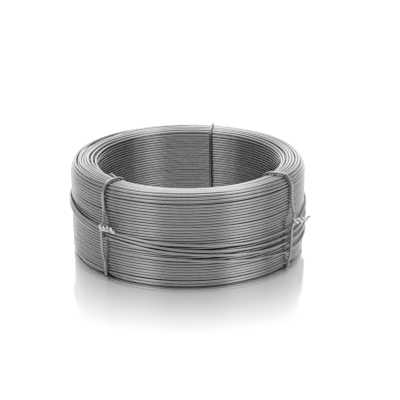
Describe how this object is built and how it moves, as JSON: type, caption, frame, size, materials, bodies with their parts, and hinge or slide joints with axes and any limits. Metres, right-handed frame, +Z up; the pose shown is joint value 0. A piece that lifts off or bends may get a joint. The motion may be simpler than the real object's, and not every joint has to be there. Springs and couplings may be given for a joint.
{
  "type": "coil of galvanized wire",
  "caption": "Round coil of bright galvanized steel wire standing on its end, with an open bore, domed top turns, loose outer turns and twisted tie wires round its section.",
  "frame": {"origin": "on the floor at the middle of the coil's bore", "axes": "+Z up along the bore's axis, -Y towards the front, where the two front ties are seen"},
  "size_m": [0.1994, 0.2049, 0.0799],
  "materials": {
    "coiled_wire": "bright zinc, smooth, lightly mottled",
    "tie_wire": "bright zinc, smooth"
  },
  "bodies": {
    "root": {"wire_coil": "coiled_wire", "tie_wire_front_left": "tie_wire", "tie_wire_front_right": "tie_wire", "tie_wire_back": "tie_wire"}
  },
  "joints": []
}
